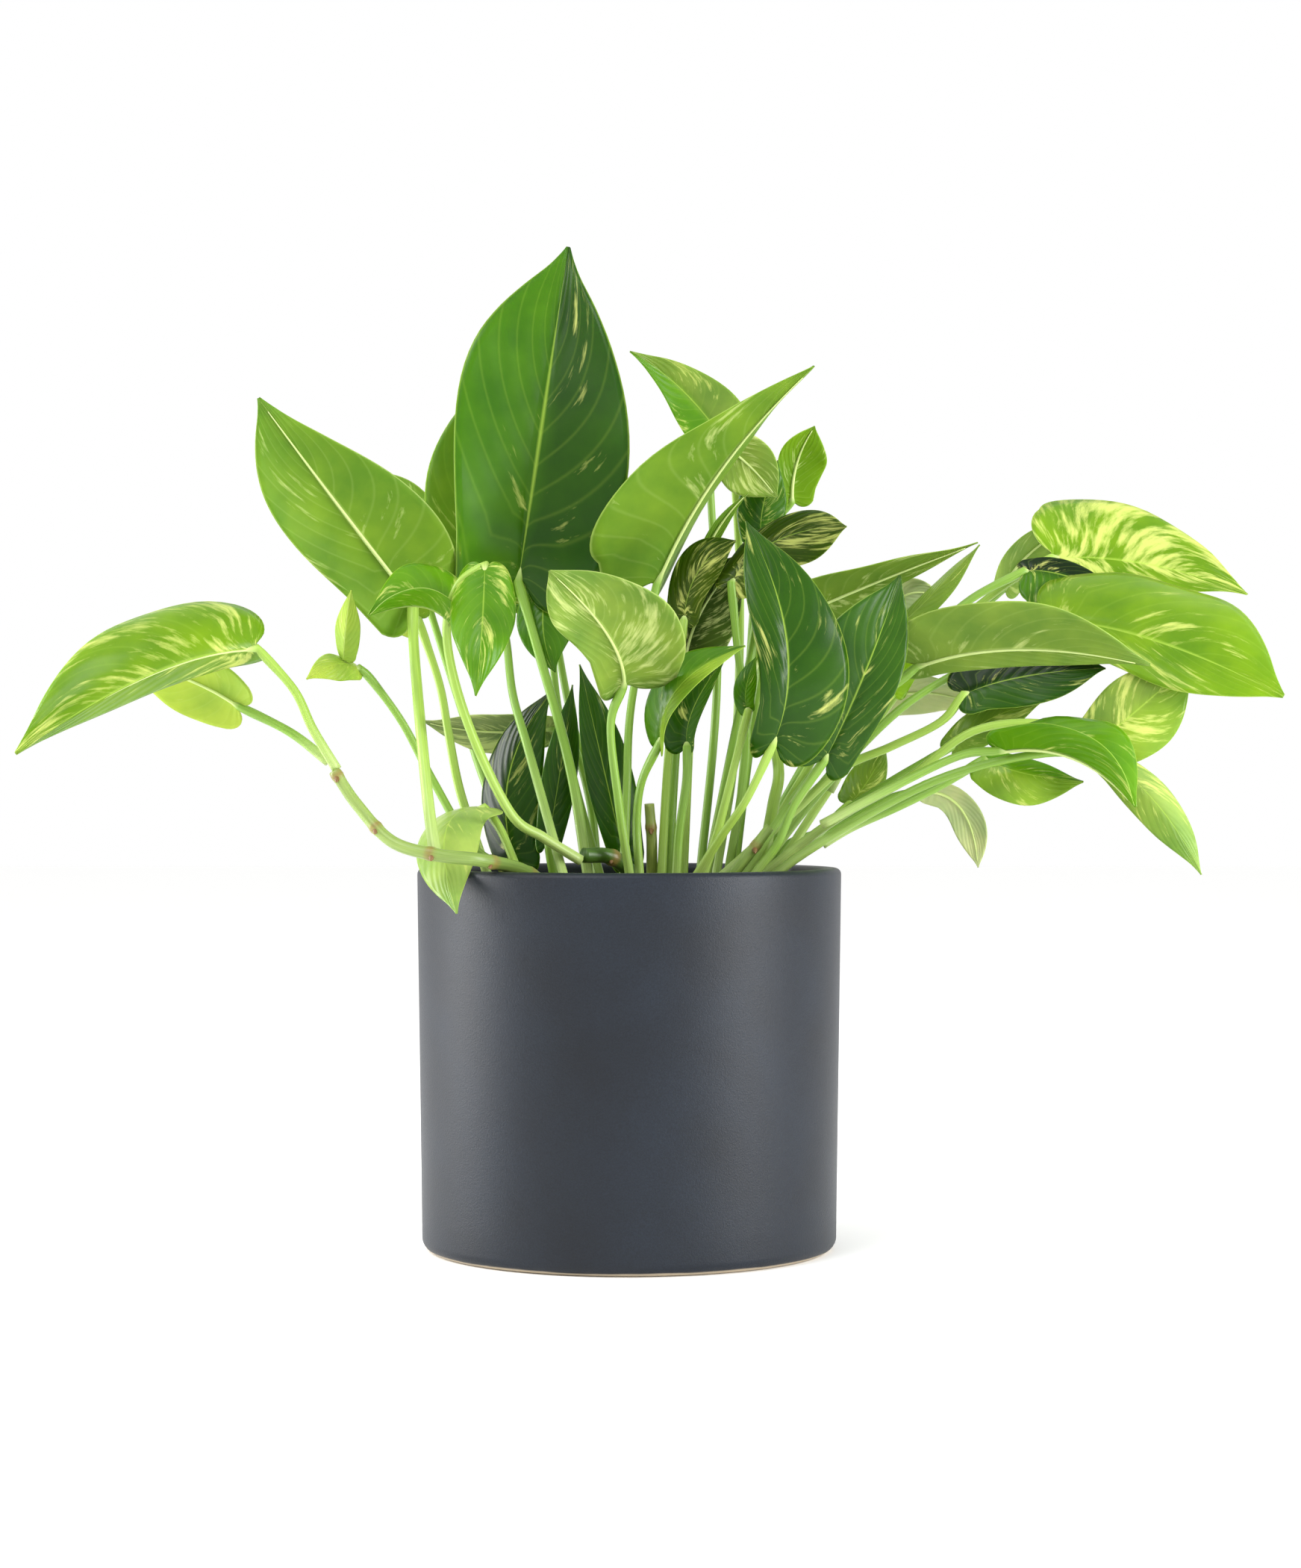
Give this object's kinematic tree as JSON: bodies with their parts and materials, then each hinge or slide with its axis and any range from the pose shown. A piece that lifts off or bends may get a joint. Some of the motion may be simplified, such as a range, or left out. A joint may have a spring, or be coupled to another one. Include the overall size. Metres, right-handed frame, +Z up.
{
  "type": "potted pothos plant",
  "caption": "Pothos plant with heart-shaped marbled leaves on long thin stalks, arching out to both sides, in a plain cylindrical dark ceramic pot filled with soil.",
  "frame": {"origin": "centre of the pot's flat base, on the surface it stands on", "axes": "+Z up, +X to the plant's right seen from its fullest side, which faces -Y"},
  "size_m": [0.4839, 0.2058, 0.4053],
  "materials": {
    "pot": "matt charcoal glaze with a fine sandy grain",
    "soil": null,
    "vine": null,
    "leaf": null
  },
  "bodies": {
    "root": {"leaf_behind_top": "leaf", "leaf_black_green": "leaf", "leaf_brown_centre": "leaf", "leaf_cream_rear": "leaf", "leaf_cupped_dark": "leaf", "leaf_curled_high": "leaf", "leaf_dark_rear": "leaf", "leaf_dark_right": "leaf", "leaf_far_left": "leaf", "leaf_far_left_small": "leaf", "leaf_front_cream": "leaf", "leaf_front_dark": "leaf", "leaf_front_folded": "leaf", "leaf_front_left": "leaf", "leaf_high_centre": "leaf", "leaf_high_left": "leaf", "leaf_left_rear": "leaf", "leaf_left_young": "leaf", "leaf_long_right": "leaf", "leaf_narrow_dark": "leaf", "leaf_narrow_rear": "leaf", "leaf_over_rim": "leaf", "leaf_rear_left": "leaf", "leaf_rear_low_right": "leaf", "leaf_rear_middle": "leaf", "leaf_rear_pale_right": "leaf", "leaf_rear_tall": "leaf", "leaf_right_back": "leaf", "leaf_right_dark": "leaf", "leaf_right_drooping": "leaf", "leaf_right_folded": "leaf", "leaf_right_hanging": "leaf", "leaf_right_large": "leaf", "leaf_right_low": "leaf", "leaf_right_marbled": "leaf", "leaf_right_pale": "leaf", "leaf_right_quilted": "leaf", "leaf_right_shaded": "leaf", "leaf_right_under": "leaf", "leaf_small_centre": "leaf", "leaf_small_glossy": "leaf", "leaf_small_grey": "leaf", "leaf_small_yellow": "leaf", "leaf_spear": "leaf", "leaf_speckled_centre": "leaf", "leaf_speckled_right": "leaf", "leaf_striped_rear": "leaf", "leaf_top": "leaf", "leaf_upright_dark": "leaf", "leaf_yellow_high": "leaf", "pot": "pot", "soil": "soil", "vine_centre": "vine", "vine_front": "vine", "vine_left": "vine", "vine_right": "vine"}
  },
  "joints": []
}
